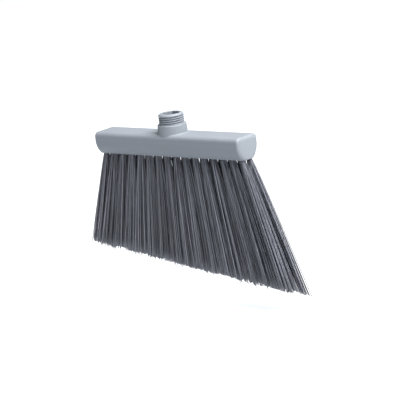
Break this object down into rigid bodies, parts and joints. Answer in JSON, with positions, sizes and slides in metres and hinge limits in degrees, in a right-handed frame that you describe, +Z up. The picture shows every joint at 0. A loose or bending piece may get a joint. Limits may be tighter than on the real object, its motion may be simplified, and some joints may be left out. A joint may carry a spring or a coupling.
{
  "type": "angle broom head",
  "caption": "Angled broom head: a moulded block with a threaded, socketed spigot for its handle and rows of fanned bristle tufts trimmed on a slant.",
  "frame": {"origin": "on the spigot's axis, at the collar's shoulder where the thread ends", "axes": "+Z up the spigot towards the handle, +X along the block towards the long end of the bristle, -Y the broom's front"},
  "size_m": [0.2961, 0.0381, 0.2076],
  "materials": {
    "block_plastic": "light blue-grey polypropylene moulding with a fine satin skin",
    "bristle_plastic": "dark grey extruded bristle with a soft sheen along each filament",
    "anchor_steel": "bare galvanised strip"
  },
  "bodies": {
    "root": {"block": "block_plastic", "anchors": "anchor_steel", "tuft_front_01": "bristle_plastic", "tuft_front_02": "bristle_plastic", "tuft_front_03": "bristle_plastic", "tuft_front_04": "bristle_plastic", "tuft_front_05": "bristle_plastic", "tuft_front_06": "bristle_plastic", "tuft_front_07": "bristle_plastic", "tuft_front_08": "bristle_plastic", "tuft_front_09": "bristle_plastic", "tuft_front_10": "bristle_plastic", "tuft_front_11": "bristle_plastic", "tuft_front_12": "bristle_plastic", "tuft_front_13": "bristle_plastic", "tuft_front_14": "bristle_plastic", "tuft_front_15": "bristle_plastic", "tuft_front_16": "bristle_plastic", "tuft_middle_01": "bristle_plastic", "tuft_middle_02": "bristle_plastic", "tuft_middle_03": "bristle_plastic", "tuft_middle_04": "bristle_plastic", "tuft_middle_05": "bristle_plastic", "tuft_middle_06": "bristle_plastic", "tuft_middle_07": "bristle_plastic", "tuft_middle_08": "bristle_plastic", "tuft_middle_09": "bristle_plastic", "tuft_middle_10": "bristle_plastic", "tuft_middle_11": "bristle_plastic", "tuft_middle_12": "bristle_plastic", "tuft_middle_13": "bristle_plastic", "tuft_middle_14": "bristle_plastic", "tuft_middle_15": "bristle_plastic", "tuft_back_01": "bristle_plastic", "tuft_back_02": "bristle_plastic", "tuft_back_03": "bristle_plastic", "tuft_back_04": "bristle_plastic", "tuft_back_05": "bristle_plastic", "tuft_back_06": "bristle_plastic", "tuft_back_07": "bristle_plastic", "tuft_back_08": "bristle_plastic", "tuft_back_09": "bristle_plastic", "tuft_back_10": "bristle_plastic", "tuft_back_11": "bristle_plastic", "tuft_back_12": "bristle_plastic", "tuft_back_13": "bristle_plastic", "tuft_back_14": "bristle_plastic", "tuft_back_15": "bristle_plastic", "tuft_back_16": "bristle_plastic"}
  },
  "joints": []
}
